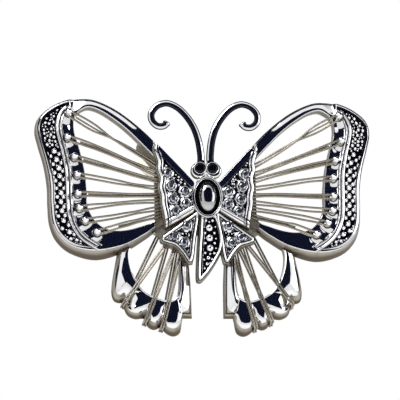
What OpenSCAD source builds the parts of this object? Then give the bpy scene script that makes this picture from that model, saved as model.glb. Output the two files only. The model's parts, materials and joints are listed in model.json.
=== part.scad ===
// Butterfly hair ornament on a small alligator clip.
// It stands as it is worn: the front faces -Y, X runs to the right and Z up. The origin lies on the hair line,
// in the middle of the gap between the clip's jaws.
// Plan shapes are drawn with x to the right and y up, for the right-hand wing. Height in a plan shape is the
// distance in front of the hair line.

/* [Wings] */
// Span across both forewings
wing_span = 76.2; // [63:0.1:92]
// Height of the forewing tips above the middle of the body
wing_rise = 22.7; // [18.5:0.1:27.5]
// Drop of the lowest hindwing lobe below the middle of the body
wing_drop = 31.3; // [26:0.1:38]
// Thickness of a forewing casting
forewing_t = 3; // [2.4:0.1:3.8]
// Thickness of a hindwing casting
hindwing_t = 2.4; // [1.8:0.1:3]
// Thickness of the hindwing bar that lies under the forewing
tongue_t = 1; // [0.7:0.1:1.2]
// Thickness of the wing roots that lie under the centre ornament
root_t = 1.5; // [1.3:0.1:1.9]
// Gap between the hindwing's thick part and the forewing's edge
lap_clear = 0.15; // [0.1:0.05:0.4]
// Depth of the sunk band that holds the grains on a forewing
band_depth = 0.6; // [0.3:0.1:1]
// Width of the plain rim outside that band
rim_w = 1.6; // [1.2:0.1:2]
// Thickness of the hub plate that joins the wings
hub_t = 0.8; // [0.6:0.1:1.4]

/* [Wires] */
// Diameter of the wing wires
wire_d = 0.42; // [0.3:0.02:0.5]
// Radius of the shank of a wire peg
peg_r = 0.4; // [0.3:0.05:0.5]
// Radius of the ball on a wire peg
peg_ball_r = 0.75; // [0.6:0.05:0.9]
// Gap between a wire and what it passes
wire_clear = 0.03; // [0.02:0.01:0.06]
// Height of the wires above the forewing at their pegs
peg_lift = 0.18; // [0.1:0.02:0.3]

/* [Ornament] */
// Thickness of the centre ornament's plate
ornament_t = 1.9; // [1.5:0.1:2.6]
// Gap between the wings' roots and the ornament, besides the wires in it
wire_room = 0.24; // [0.2:0.02:0.4]
// Width of the oval cabochon
cabochon_w = 4.3; // [3.6:0.1:5.2]
// Height of the oval cabochon
cabochon_h = 7; // [5.8:0.1:8.4]
// How far the cabochon's dome stands above its seat
cabochon_rise = 2.3; // [1.8:0.1:2.8]
// Width of the bezel around the cabochon
bezel_w = 1.3; // [1:0.1:1.5]
// Height of the bezel above the ornament's plate
bezel_rise = 1; // [0.6:0.1:1.4]
// Radius of each lobe of the head
head_r = 2; // [1.7:0.05:2.3]
// Radius of a round eye stone
eye_r = 1.13; // [0.9:0.01:1.3]
// Radius of a small round stone
stone_r = 0.85; // [0.7:0.01:1]
// Depth of a small stone's seat
stone_seat = 0.6; // [0.4:0.05:0.8]
// Gap all round a stone in its seat
stone_clear = 0.02; // [0.01:0.01:0.05]
// Radius of the largest grains on the tail
grain_r = 0.8; // [0.6:0.05:0.9]
// Thickness of an antenna at its root
antenna_d = 1.6; // [1.2:0.05:1.9]
// Thickness of an antenna at its tip
antenna_tip_d = 1.3; // [1:0.05:1.5]
// Height of the antennae above the head
antenna_rise = 13.7; // [11:0.1:16]

/* [Clip] */
// Length of the jaws, from the hinge pin to the nose
jaw_len = 22; // [18.5:0.5:26.5]
// Length of the finger tabs, from the hinge pin to their ends
tab_len = 10.8; // [9:0.1:13]
// Width of the arms
arm_w = 4.8; // [4.3:0.1:5.8]
// Thickness of the arms' sheet
arm_t = 0.6; // [0.5:0.05:0.8]
// Distance from the hinge pin to the middle of the grip
grip_reach = 9; // [7.5:0.5:10.8]
// Tilt of the clip, nose down, behind the ornament
clip_tilt = 46; // [38:0.5:52]
// Distance of the clip's centre line from the origin, down and to the left
clip_offset = 1; // [0:0.1:1.6]
// Radius of the hinge pin
pin_r = 0.6; // [0.45:0.05:0.72]
// Radial running clearance of the pin in the lower arm
pin_clear = 0.05; // [0.02:0.01:0.08]
// Radial clearance of the pin in the upper arm, where it is riveted
rivet_clear = 0.02; // [0.01:0.01:0.04]
// Diameter of the spring wire
spring_d = 0.7; // [0.5:0.05:0.8]
// Number of turns in the spring
spring_turns = 3; // [2:1:3]
// Gap between the nose of the lower arm and the upper arm
nose_gap = 0.45; // [0.3:0.05:0.7]
// Flare of the lower finger tab
tab_flare = 22; // [16:1:26]
// Thickness of the solder between the clip and the hub plate
solder_t = 0.25; // [0.15:0.05:0.4]
// Radius of a pad of solder
solder_r = 1.7; // [1.2:0.1:2]

/* [Hidden] */
$fn = 48;

silver = "#c9c9cc";
wire_silver = "#a9a59a";
crystal = "#dfe6f2";
jet = "#101014";
steel = "#b9b4a6";

// Points on each stretch of a curve.
steps = 3;
// Overlap that makes cuts and joins clean.
eps = 0.05;

// The clip's side view, from the pin and the coil outwards.
coil_play = 0.14;
coil_clear = 0.15;
coil_mean_r = pin_r + coil_play + spring_d / 2;
coil_r = coil_mean_r + spring_d / 2;
arm_drop = coil_r + coil_clear;
close_angle = atan((2 * arm_drop - nose_gap) / jaw_len);
grip_gap = 2 * arm_drop - grip_reach * tan(close_angle);
pin_height = grip_gap / 2 - arm_drop;
ear_wall = 0.85;
ear_r = pin_r + ear_wall;
ear_clear = 0.1;
inner_arm_w = arm_w - 2 * (arm_t + ear_clear);
// The arms are narrow as far as this from the pin, and widen over the shoulder's length.
waist = ear_r + 2 * ear_clear + arm_t;
shoulder = 1;
pin_lip = 0.4;
pin_head_t = 0.3;
tab_end_r = 1.9;
nose_chamfer = 1.4;
tooth_pitch = 2;
tooth_h = 0.7;
tooth_gap = 0.12;
// Where the teeth begin, past the ears.
tooth_start = ear_r + 2.2;
// The spring's legs, as a share of the finger tab.
leg_share = 0.7;
leg_slack = 0.01;
solder_places = [-3.6, 5];

// Levels in front of the hair line.
arm_back = grip_gap / 2;
hub_back = arm_back + arm_t + solder_t;
wing_back = hub_back + hub_t;
root_front = wing_back + root_t;
forewing_front = wing_back + forewing_t;
hindwing_front = wing_back + hindwing_t;
wire_r = wire_d / 2;
ornament_back = root_front + wire_d + wire_room;
ornament_front = ornament_back + ornament_t;

// Half width of the hub, which keeps its size when the wings' sizes change, and how far it reaches up and down.
hub_x = 11.65;
hub_up = 12.4;
hub_down = 15.8;
// The plan is drawn at this half span, rise and drop.
drawn_x = 38.1;
drawn_up = 22.7;
drawn_down = 31.3;

function stretched(v, core, drawn, wanted) =
    abs(v) <= core ? v : sign(v) * (core + (abs(v) - core) * (wanted - core) / (drawn - core));
function plan(p) = [
    stretched(p[0], hub_x, drawn_x, wing_span / 2),
    p[1] > 0 ? stretched(p[1], hub_up, drawn_up, wing_rise) : stretched(p[1], hub_down, drawn_down, wing_drop)
];
function spline(a, b, c, d, t) =
    (2 * b + (c - a) * t + (2 * a - 5 * b + 4 * c - d) * t * t + (3 * b - a - 3 * c + d) * t * t * t) / 2;
// A smooth run through the points, without its last point, so that runs join at corners.
function run(p, n = steps) = [
    for (i = [0 : len(p) - 2], k = [0 : n - 1])
        spline(p[max(i - 1, 0)], p[i], p[i + 1], p[min(i + 2, len(p) - 1)], k / n)
];
function unit(v) = v / norm(v);
function side(v) = [v[1], -v[0]];
// Points moved to their right-hand side by a distance, which is inwards on a clockwise outline.
function moved(p, d) = [
    for (i = [0 : len(p) - 1]) p[i] + d * side(unit(p[min(i + 1, len(p) - 1)] - p[max(i - 1, 0)]))
];
function back_to_front(p) = [for (i = [len(p) - 1 : -1 : 0]) p[i]];

// Forewing, clockwise from the body: leading edge, outer edge, lower edge.
leading_edge = [[3.3, 3.7], [7.9, 8.7], [13.1, 14.8], [18.8, 19.6], [23.9, 22.2], [27.6, 22.7]];
outer_edge = [[27.6, 22.7], [31.2, 22.3], [34.8, 20.7], [37.3, 18.3], [38.1, 15.3], [37.4, 12], [36.1, 7.2],
    [35.4, 2.4], [35.3, -2], [34.9, -6.4], [33.3, -10.1], [30, -12.8], [24.5, -14.1]];
lower_edge = [[24.5, -14.1], [18.4, -12.3], [13.8, -9.5], [11.2, -7.6]];
forewing_root = [[11.2, -7.6], [6, -4.6], [1.2, -4.2], [1.2, 1.6]];
forewing_opening = [[12.2, 9.6], [17, 14.7], [21.6, 18.4], [24.4, 20.1], [26.6, 20.2], [28.8, 18.8], [29.5, 16.2],
    [28.4, 11], [27.2, 6], [26.7, 1.5], [26.6, -2.5], [25.3, -5.4], [22.8, -7.5], [19.5, -8], [14.5, -6.8]];
opening_root = [[14.5, -6.8], [11.5, -5.6], [11.4, 0], [11.4, 8.9], [12.2, 9.6]];
// Line between the grain band and the plain band with the pegs.
band_line = [[29.6, 20.7], [32.6, 18.3], [33.2, 15.3], [32.1, 10.4], [31.2, 5.6], [31, 0], [30.7, -4.5],
    [29.4, -8], [27.4, -10.3], [25.2, -12]];
peg_places = [[30.6, 18.9], [30.9, 13.1], [29.4, 8.6], [28.8, 4.5], [28.7, 0.2], [28.4, -3.1], [27.2, -6],
    [24.6, -8.6]];
// Share of each wire's way from the body at which it passes over the edge of the opening.
peg_edges = [0.92, 0.87, 0.9, 0.89, 0.88, 0.87, 0.85, 0.68];
// Where the fan of wires ends under the ornament, and its top and bottom there.
fan_x = 9.6;
fan_top = 6.9;
fan_bottom = -4.2;

// Hindwing, clockwise: bar under the forewing, outer edge, four lobes, foot, inner strip.
hindwing_bar = [[3.2, -5], [7, -4.9], [11, -5.6], [15, -8], [19.4, -10.2]];
hindwing_side = [[19.4, -10.2], [20.4, -15.2], [21.1, -19], [21.3, -21.4], [20.9, -23.1], [19.8, -23.8]];
lobe_c = [[18.6, -23.4], [18.4, -25.4], [17.6, -26.8], [16.2, -27.4], [14.9, -27.3]];
lobe_b = [[14.1, -27.2], [13.4, -29.1], [12.2, -29.8], [11.1, -29.5]];
lobe_a = [[10.5, -28.6], [9.7, -30.3], [8.4, -31.2], [7.2, -31.2], [6.2, -30.3], [5.8, -28.2]];
inner_strip = [[5.6, -27.2], [3.5, -27.2], [3.6, -20], [3.9, -13], [3.2, -5]];
hindwing_opening = [[17, -11], [17.5, -14.3], [16.9, -16.8], [16.1, -18.9], [14.6, -21], [12.4, -22.6],
    [9.6, -23.6], [7.6, -23.3], [6.6, -22], [6.3, -18.5], [6.2, -12.4]];
hindwing_opening_top = [[6.2, -12.4], [8.3, -11.2], [9.9, -9.7], [11, -8.2], [12.2, -7.6], [14, -8.9],
    [16.4, -10.5], [17, -11]];
// The notches that hold the wires, where each wire leaves the hub, and the share of its way at the ring's edge.
notches = [[18.85, -24.4], [14.1, -28.3], [10.45, -29.7]];
notch_hubs = [[8.6, -10.4], [7.3, -11.1], [5.9, -11.4]];
notch_edges = [0.58, 0.58, 0.6];

// Ornament: upper and lower inner wings, body tail.
upper_inner = [[3, 3.4], [7.9, 8.7], [11.5, 12.4]];
upper_inner_edge = [[11.5, 12.4], [11.4, 9.2], [11.1, 7], [10.7, 3.7], [10.6, 0.4], [10.3, -2.3], [9.5, -7.1]];
upper_inner_foot = [[9.5, -7.1], [3, -3.4]];
lower_inner = [[1.6, -3], [10.7, -9.8], [9, -11.4], [7, -12.5], [4.3, -15.5], [3.4, -13], [2.2, -5.5], [1.6, -4.4]];
tail_right = [[2.6, -4.4], [3.2, -7], [3.3, -10.4], [2.6, -13.9], [0.4, -17.6], [-1.4, -19.3]];
tail_left = [[-1.4, -19.3], [-2.2, -19.6], [-2.7, -18.9], [-2.5, -14], [-2.1, -9], [-1.7, -4.4]];
upper_stones = [[8.8, 5], [8, 2.2], [4.9, 0.9], [7.6, -0.8], [4.7, -1.9], [7.1, -3.7]];
lower_stones = [[4.7, -6.9], [7.4, -9.5], [5.4, -10.8]];
tail_grains = [[0.4, -7.4, 1], [0.4, -9.7, 1], [0.4, -12, 1], [0, -14.3, 0.5], [-0.2, -15.6, 0.5]];
// Antenna, from its root on the head: it swings out and curls in. Heights are shares of its whole rise.
antenna_line = [[1, 0.04], [1.4, 0.3], [2.4, 0.55], [4, 0.75], [6, 0.9], [8.3, 0.96], [10.4, 0.92], [11.8, 0.8],
    [11.9, 0.65], [10.8, 0.55], [9.4, 0.545], [8.4, 0.62]];
hub_outline = [[3, 2.6], [9.2, 6.2], [9.2, -5.2], [8.2, -10.6], [4.6, -12.6], [3.2, -8.2]];
// Top of the hindwings' bars, and of the part of them that passes under the forewings' roots.
bar_top = -4.4;
crossing_top = -7.9;
// How far out the hindwing reaches under the forewing, and how far in the line between them runs.
bar_reach = 20.7;
lap_run_in = 1;
// How far a wire's back run stops from where its front run begins.
back_stop = 2.6;

bezel_rx = cabochon_w / 2 + bezel_w;
bezel_ry = cabochon_h / 2 + bezel_w;
// How far the bezel's middle lies below the wings' middle.
bezel_down = 0.55;
// The head's lobes overlap the bezel by the rest of this share of their radius, and each other by the next.
head_up = 0.78;
head_out = 0.75;
head_y = bezel_ry - bezel_down + head_r * head_up;
head_x = head_r * head_out;
// How far the eyes sit above the lobes' middle.
eye_up = 0.45;
eye_gap = 0.54;
eye_x = eye_r + eye_gap / 2;
neck_x = 1.75;
eye_y = head_y + eye_up;
neck_rise = 0.2;
neck_y = head_y + head_r + neck_rise;
dome_sink = 0.2;
// A stone's crown: the share of its radius at the top, and its height.
crown_share = 0.55;
crown_h = 0.35;

// Turns a plan shape so that its height faces the front.
module upright() {
    rotate([90, 0, 0]) children();
}

module slab(low, high) {
    translate([0, 0, low]) linear_extrude(high - low) children();
}

module sided(right) {
    if (right) {
        children();
    } else {
        mirror([1, 0, 0]) children();
    }
}

module oval(rx, ry) {
    polygon([for (a = [0 : 7.5 : 352.5]) [rx * cos(a), ry * sin(a)]]);
}

// A round tube along a path, as rings square to it. The path lies in a plane whose normal is ref.
module tube(path, radii, ref, sides = 10) {
    n = len(path);
    rings = [
        for (i = [0 : n - 1])
            let (t = unit(path[min(i + 1, n - 1)] - path[max(i - 1, 0)]), s = cross(t, ref))
            [for (k = [0 : sides - 1]) path[i] + radii[i] * (s * cos(360 * k / sides) + ref * sin(360 * k / sides))]
    ];
    walls = [
        for (i = [0 : n - 2], k = [0 : sides - 1])
            let (j = (k + 1) % sides)
            [i * sides + k, i * sides + j, (i + 1) * sides + j, (i + 1) * sides + k]
    ];
    first = [for (k = [sides - 1 : -1 : 0]) k];
    last = [for (k = [0 : sides - 1]) (n - 1) * sides + k];
    polyhedron([for (ring = rings) each ring], concat([first], walls, [last]));
}

module forewing_outline() {
    points = concat(run(leading_edge), run(outer_edge), run(lower_edge), forewing_root);
    polygon([for (p = points) plan(p)]);
}

module forewing_opening_outline() {
    points = concat(run(forewing_opening), opening_root);
    polygon([for (p = points) plan(p)]);
}

// What lies inside the rim but outside the plain band.
module grain_band_outline() {
    plain = [for (p = run(band_line)) plan(p)];
    difference() {
        polygon(moved([for (p = run(outer_edge)) plan(p)], rim_w));
        polygon(concat(plain, [[hub_x, -wing_drop / 2], [hub_x, wing_rise]]));
    }
}

module hub_zone(low, high) {
    translate([-hub_x, -hub_down - hub_x, low]) cube([2 * hub_x, 2 * (hub_down + hub_x), high - low]);
}

module forewing(right) {
    color(silver) upright() sided(right) difference() {
        slab(wing_back, forewing_front) forewing_outline();
        slab(wing_back - eps, forewing_front + eps) forewing_opening_outline();
        slab(forewing_front - band_depth, forewing_front + eps) grain_band_outline();
        hub_zone(root_front, forewing_front + eps);
        // The hindwing's bar lies in this relief.
        translate([eps, -hub_down, wing_back - eps])
            cube([plan([bar_reach, 0])[0], hub_down + bar_top, tongue_t + eps]);
    }
}

module hindwing_outline() {
    points = concat(run(hindwing_bar), run(hindwing_side), run(lobe_c), run(lobe_b), run(lobe_a), run(inner_strip));
    polygon([for (p = points) plan(p)]);
}

module hindwing_opening_outline() {
    points = concat(run(hindwing_opening), run(hindwing_opening_top));
    polygon([for (p = points) plan(p)]);
}

// All that lies under or above the forewing's lower edge, with the gap beside it.
module lap_outline() {
    start = hub_x - lap_run_in;
    edge = concat([[start, forewing_root[0][1]]], back_to_front(run(lower_edge)), [[drawn_x, lower_edge[0][1]]]);
    lowered = [for (p = edge) plan(p) - [0, lap_clear]];
    polygon(concat(lowered, [[wing_span / 2, 0], [start, 0]]));
}

module hindwing(right) {
    color(silver) upright() sided(right) difference() {
        slab(wing_back, hindwing_front) hindwing_outline();
        slab(wing_back - eps, hindwing_front + eps) hindwing_opening_outline();
        slab(wing_back + tongue_t, hindwing_front + eps) lap_outline();
        hub_zone_cut();
    }
}

// The hindwing's root is low under the ornament, and lower still where the forewing's root crosses it.
module hub_zone_cut() {
    translate([0, -hub_down, root_front]) cube([hub_x, hub_down, hindwing_t]);
    translate([0, crossing_top, wing_back + tongue_t]) cube([hub_x, -crossing_top, hindwing_t]);
}

module hub_plate() {
    half = hub_outline;
    color(wire_silver) upright() slab(hub_back, wing_back)
        polygon(concat(half, [for (p = back_to_front(half)) [-p[0], p[1]]]));
}

module inner_wing_outline() {
    polygon(concat(run(upper_inner), run(upper_inner_edge), upper_inner_foot));
    polygon(lower_inner);
}

// An oval round the bezel's middle.
module bezel_oval(rx, ry) {
    translate([0, -bezel_down]) oval(rx, ry);
}

module ornament_outline() {
    inner_wing_outline();
    mirror([1, 0]) inner_wing_outline();
    polygon(concat(run(tail_right), run(tail_left)));
    bezel_oval(bezel_rx, bezel_ry);
    for (s = [-1, 1]) {
        translate([s * head_x, head_y]) circle(head_r);
    }
    translate([-neck_x, head_y]) square([2 * neck_x, neck_y - head_y]);
}

module seats(places, r, depth) {
    for (p = places) {
        translate([p[0], p[1], ornament_front - depth]) cylinder(r = r, h = depth + eps);
    }
}

module centre_ornament() {
    mirrored_stones = [for (p = concat(upper_stones, lower_stones)) [-p[0], p[1]]];
    stones = concat(upper_stones, lower_stones, mirrored_stones);
    color(silver) upright() {
        difference() {
            union() {
                slab(ornament_back, ornament_front) ornament_outline();
                // A boss under the bezel rests on the wings' roots.
                slab(root_front, ornament_back + eps) bezel_oval(bezel_rx - eps, bezel_ry - eps);
                slab(ornament_front - eps, ornament_front + bezel_rise) bezel_oval(bezel_rx, bezel_ry);
            }
            slab(ornament_front, ornament_front + bezel_rise + eps)
                bezel_oval(cabochon_w / 2 + stone_clear, cabochon_h / 2 + stone_clear);
            seats(stones, stone_r + stone_clear, stone_seat);
            seats([[-eye_x, eye_y], [eye_x, eye_y]], eye_r + stone_clear, stone_seat);
        }
        for (g = tail_grains) {
            translate([g[0], g[1], ornament_front]) sphere(grain_r * g[2], $fn = 24);
        }
    }
}

module cabochon() {
    base_t = bezel_rise - dome_sink;
    color(silver) upright() {
        slab(ornament_front, ornament_front + base_t) bezel_oval(cabochon_w / 2, cabochon_h / 2);
        translate([0, -bezel_down, ornament_front + base_t - eps]) intersection() {
            scale([cabochon_w / 2 - eps, cabochon_h / 2 - eps, cabochon_rise - base_t]) sphere(1, $fn = 64);
            translate([-cabochon_w, -cabochon_h, 0]) cube([2 * cabochon_w, 2 * cabochon_h, cabochon_rise]);
        }
    }
}

module antenna(right) {
    line = [for (p = antenna_line) [p[0], neck_y + p[1] * antenna_rise, (ornament_back + ornament_front) / 2]];
    path = concat([[line[0][0], neck_y, line[0][2]]], run(line), [line[len(line) - 1]]);
    n = len(path) - 1;
    radii = [for (i = [0 : n]) (antenna_d + (antenna_tip_d - antenna_d) * i / n) / 2];
    tip = path[n] + unit(path[n] - path[n - 1]) * antenna_tip_d / 4;
    color(silver) upright() sided(right)
        tube(concat(path, [tip]), concat(radii, [antenna_tip_d / 4]), [0, 0, 1]);
}

module eye_stone(right) {
    color(jet) upright() sided(right) translate([eye_x, eye_y, ornament_front - stone_seat + wire_clear]) {
        cylinder(r = eye_r, h = stone_seat);
        translate([0, 0, stone_seat - eps]) cylinder(r1 = eye_r - eps, r2 = eye_r * crown_share, h = crown_h);
    }
}

// A small cut stone: a girdle with a sloped crown.
module stones(places, right) {
    color(crystal) upright() sided(right) for (p = places) {
        translate([p[0], p[1], ornament_front - stone_seat + wire_clear]) {
            cylinder(r = stone_r, h = stone_seat);
            translate([0, 0, stone_seat - eps])
                cylinder(r1 = stone_r - eps, r2 = stone_r * crown_share, h = crown_h);
        }
    }
}

module wire_pegs(right) {
    ball_height = peg_lift + wire_d + wire_clear + sqrt(pow(peg_ball_r, 2) - pow(peg_r, 2));
    color(silver) upright() sided(right) for (q = peg_places) {
        p = plan(q);
        translate([p[0], p[1], forewing_front]) {
            cylinder(r = peg_r, h = ball_height, $fn = 24);
            translate([0, 0, ball_height]) sphere(peg_ball_r, $fn = 24);
        }
    }
}

// Two strands run from each peg, one on each side of it, over the edge and down to the fan's line.
module forewing_wires(right) {
    strands = 2 * len(peg_places);
    pitch = (fan_top - fan_bottom) / (strands - 1);
    reach = peg_r + wire_r + wire_clear;
    color(wire_silver) upright() sided(right) for (i = [0 : len(peg_places) - 1], s = [0, 1]) {
        peg = plan(peg_places[i]);
        end = [fan_x, fan_top - (2 * i + s) * pitch];
        across = side(unit(peg - end));
        start = peg + reach * (2 * s - 1) * across;
        edge = end + peg_edges[i] * (start - end);
        over = forewing_front + wire_r + peg_lift;
        low = root_front + wire_r + wire_clear;
        path = [[start[0], start[1], over], [edge[0], edge[1], over], [end[0], end[1], low]];
        tube(path, [for (p = path) wire_r], concat(across, [0]), 8);
    }
}

// Each wire runs from the hub over the ring to a notch, round the edge and back behind it to the hub plate.
module hindwing_wires(right) {
    over = hindwing_front + wire_r + wire_clear;
    under = wing_back - wire_r - wire_clear;
    low = root_front + wire_r + wire_clear;
    color(wire_silver) upright() sided(right) for (i = [0 : len(notches) - 1], s = [-1, 1]) {
        out = unit(plan(notches[i]) - notch_hubs[i]);
        shift = s * (wire_r + wire_clear) * side(out);
        hub = notch_hubs[i] + shift;
        notch = plan(notches[i]) + shift + (wire_r + wire_clear) * out;
        edge = hub + notch_edges[i] * (notch - hub);
        hub_edge = hub + back_stop * out;
        path = [[hub[0], hub[1], low], [edge[0], edge[1], over], [notch[0], notch[1], over],
            [notch[0], notch[1], under], [hub_edge[0], hub_edge[1], under]];
        tube(path, [for (p = path) wire_r], concat(side(out), [0]), 8);
    }
}

// Places a shape from the clip's own frame: x along the clip to the nose, origin on the hair line at the grip.
module clip_place() {
    upright() rotate([0, 0, -clip_tilt]) translate([0, -clip_offset, 0]) children();
}

// An arm's outline, with the hinge pin at x = 0. It is narrow where it passes the other arm's ears.
module arm_outline(from, to, half, narrow) {
    wide = waist + shoulder;
    if (from < 0) {
        end = from + tab_end_r;
        translate([end, 0]) circle(tab_end_r);
        polygon([[end, -tab_end_r], [-wide, -half], [-waist, -narrow], [0, -narrow],
            [0, narrow], [-waist, narrow], [-wide, half], [end, tab_end_r]]);
    }
    if (to > 0) {
        nose = to - nose_chamfer;
        tip = half - nose_chamfer;
        polygon([[0, -narrow], [waist, -narrow], [wide, -half], [nose, -half], [to, -tip],
            [to, tip], [nose, half], [wide, half], [waist, narrow], [0, narrow]]);
    }
}

// One pair of ears around the pin. The sheet lies at height rise, on the side that rise points to.
module ears(width, rise, hole_r) {
    for (s = [-1, 1]) {
        translate([0, s * (width - arm_t) / 2, 0]) rotate([90, 0, 0]) difference() {
            linear_extrude(arm_t, center = true) {
                circle(ear_r);
                translate([-ear_r, min(0, rise)]) square([2 * ear_r, abs(rise)]);
            }
            cylinder(r = hole_r, h = 2 * arm_t, center = true);
        }
    }
}

module clip_upper_arm() {
    color(steel) clip_place() translate([-grip_reach, 0, pin_height]) {
        slab(arm_drop, arm_drop + arm_t) arm_outline(-tab_len, jaw_len, arm_w / 2, arm_w / 2);
        ears(arm_w, arm_drop + arm_t / 2, pin_r + rivet_clear);
    }
}

// Turns the lower arm to its closed position about the pin.
module lower_place() {
    clip_place() translate([-grip_reach, 0, pin_height]) rotate([0, -close_angle, 0]) children();
}

// The height of the upper arm's inner face above the pin, in the lower arm's frame.
function roof(x) = arm_drop / cos(close_angle) - x * tan(close_angle);

// A toothed side wall of the lower jaw.
module toothed_wall() {
    count = floor((jaw_len - nose_chamfer - tooth_pitch - tooth_start) / tooth_pitch);
    tips = [
        for (i = [0 : count], k = [0, 1])
            let (x = tooth_start + (i + k / 2) * tooth_pitch)
            [x, roof(x) - tooth_gap - (1 - k) * min(tooth_h, (roof(x) + arm_drop) / 3)]
    ];
    root = -arm_drop - eps;
    polygon(concat([[tooth_start, root]], tips, [[tips[len(tips) - 1][0] + eps, root]]));
}

module clip_lower_arm() {
    color(steel) lower_place() {
        slab(-arm_drop - arm_t, -arm_drop) arm_outline(0, jaw_len, arm_w / 2, inner_arm_w / 2);
        translate([0, 0, -arm_drop]) rotate([0, -tab_flare, 0])
            slab(-arm_t, 0) arm_outline(-tab_len, 0, arm_w / 2, inner_arm_w / 2);
        ears(inner_arm_w, -arm_drop - arm_t / 2, pin_r + pin_clear);
        for (s = [-1, 1]) {
            translate([0, s * (arm_w - arm_t) / 2 + arm_t / 2, 0]) rotate([90, 0, 0])
                linear_extrude(arm_t) toothed_wall();
        }
    }
}

module hinge_pin() {
    half = arm_w / 2;
    color(steel) clip_place() translate([-grip_reach, 0, pin_height]) rotate([90, 0, 0]) {
        cylinder(r = pin_r, h = 2 * half, center = true);
        for (s = [-1, 1]) {
            translate([0, 0, s * (half + pin_head_t / 2)])
                cylinder(r = pin_r + pin_lip, h = pin_head_t, center = true);
        }
    }
}

// The spring's closed coil with its two straight legs, one along each finger tab.
module clip_spring() {
    width = spring_turns * spring_d;
    leg_y = (width - spring_d) / 2;
    leg = tab_len * leg_share;
    leg_r = spring_d / 2 - leg_slack;
    color(steel) clip_place() translate([-grip_reach, 0, pin_height]) {
        rotate([90, 0, 0]) difference() {
            cylinder(r = coil_r, h = width, center = true);
            cylinder(r = pin_r + coil_play, h = 2 * width, center = true);
        }
        translate([0, -leg_y, coil_mean_r]) rotate([0, -90, 0]) cylinder(r = leg_r, h = leg);
        rotate([0, -close_angle - tab_flare, 0]) translate([0, leg_y, -coil_mean_r]) rotate([0, -90, 0])
            cylinder(r = leg_r, h = leg);
    }
}

module solder_pads() {
    color(wire_silver) clip_place() for (x = solder_places) {
        translate([x, 0, arm_back + arm_t]) cylinder(r = solder_r, h = solder_t);
    }
}

forewing(false);  // left_forewing
forewing(true);  // right_forewing
hindwing(false);  // left_hindwing
hindwing(true);  // right_hindwing
hub_plate();
centre_ornament();
cabochon();
antenna(false);  // left_antenna
antenna(true);  // right_antenna
eye_stone(false);  // left_eye_stone
eye_stone(true);  // right_eye_stone
stones(upper_stones, false);  // left_upper_stones
stones(upper_stones, true);  // right_upper_stones
stones(lower_stones, false);  // left_lower_stones
stones(lower_stones, true);  // right_lower_stones
wire_pegs(false);  // left_wire_pegs
wire_pegs(true);  // right_wire_pegs
forewing_wires(false);  // left_forewing_wires
forewing_wires(true);  // right_forewing_wires
hindwing_wires(false);  // left_hindwing_wires
hindwing_wires(true);  // right_hindwing_wires
clip_upper_arm();
clip_lower_arm();
hinge_pin();
clip_spring();
solder_pads();
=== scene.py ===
import json
import math

import bmesh
import bpy
import numpy as np
from mathutils import Matrix, Vector


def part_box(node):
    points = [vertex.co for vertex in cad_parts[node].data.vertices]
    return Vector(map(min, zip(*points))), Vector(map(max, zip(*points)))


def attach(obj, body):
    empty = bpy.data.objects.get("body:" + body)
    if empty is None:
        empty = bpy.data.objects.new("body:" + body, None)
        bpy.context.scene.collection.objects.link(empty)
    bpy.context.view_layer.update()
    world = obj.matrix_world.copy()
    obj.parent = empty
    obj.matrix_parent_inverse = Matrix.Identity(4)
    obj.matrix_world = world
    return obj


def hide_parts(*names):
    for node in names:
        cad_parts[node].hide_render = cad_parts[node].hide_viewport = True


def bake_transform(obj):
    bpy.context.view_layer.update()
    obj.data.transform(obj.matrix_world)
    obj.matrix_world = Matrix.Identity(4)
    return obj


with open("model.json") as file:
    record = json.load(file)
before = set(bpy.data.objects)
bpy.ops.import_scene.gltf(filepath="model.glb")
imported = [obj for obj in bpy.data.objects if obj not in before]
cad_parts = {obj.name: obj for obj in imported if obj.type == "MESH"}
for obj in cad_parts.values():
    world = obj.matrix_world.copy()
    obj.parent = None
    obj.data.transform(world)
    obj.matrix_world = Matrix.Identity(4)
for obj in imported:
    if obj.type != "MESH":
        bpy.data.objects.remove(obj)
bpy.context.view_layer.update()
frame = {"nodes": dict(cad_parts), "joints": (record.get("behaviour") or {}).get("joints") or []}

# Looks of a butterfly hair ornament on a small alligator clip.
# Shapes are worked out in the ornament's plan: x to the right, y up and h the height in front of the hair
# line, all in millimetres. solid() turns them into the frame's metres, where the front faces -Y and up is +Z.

MM = 0.001
ROOT_BODY = "ornament"
RIGHT, LEFT = 1, -1
NAME = {RIGHT: "right", LEFT: "left"}


def front(node):
    """Height of a node's front, in millimetres before the hair line."""
    return -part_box(node)[0].y / MM


def back(node):
    """Height of a node's back."""
    return -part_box(node)[1].y / MM


# Heights of the construction, read from the frame.
WING_BACK = back("right_forewing")
FOREWING_TOP = front("right_forewing")
HINDWING_TOP = front("right_hindwing")
ROOT_TOP = back("centre_ornament")
BEZEL_TOP = front("centre_ornament")
DOME_TOP = front("cabochon")
PEG_TOP = front("right_wire_pegs")
# The bezel's height above the inner wings, and the thickness of those.
BEZEL_RISE = 1.0
PLATE_THICK = 1.9
PLATE_TOP = BEZEL_TOP - BEZEL_RISE
PLATE_BACK = PLATE_TOP - PLATE_THICK
# Thickness of the hindwing where the forewing laps it, and radius of the wires.
TONGUE = 1.0
WIRE_R = 0.21
# Backs that lie side by side are this far apart in height, so that no two share a plane.
APART = 0.02
# Outer edge of the hub, places of the bezel and of the head's parts, and the eyes' radius.
HUB_X = 11.65
BEZEL = [[0, -0.55]]
LOBES = np.array([[-1.65, 5.85], [1.65, 5.85]])
EYES = np.array([[-1.4, 6.28], [1.4, 6.28]])
NECKS = [[-1.0, 7.6], [1.0, 7.6]]
EYE_R = 1.2


# ---- camera

def placed(name, data):
    """A new object in the scene."""
    made = bpy.data.objects.new(name, data)
    bpy.context.scene.collection.objects.link(made)
    return made


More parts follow.
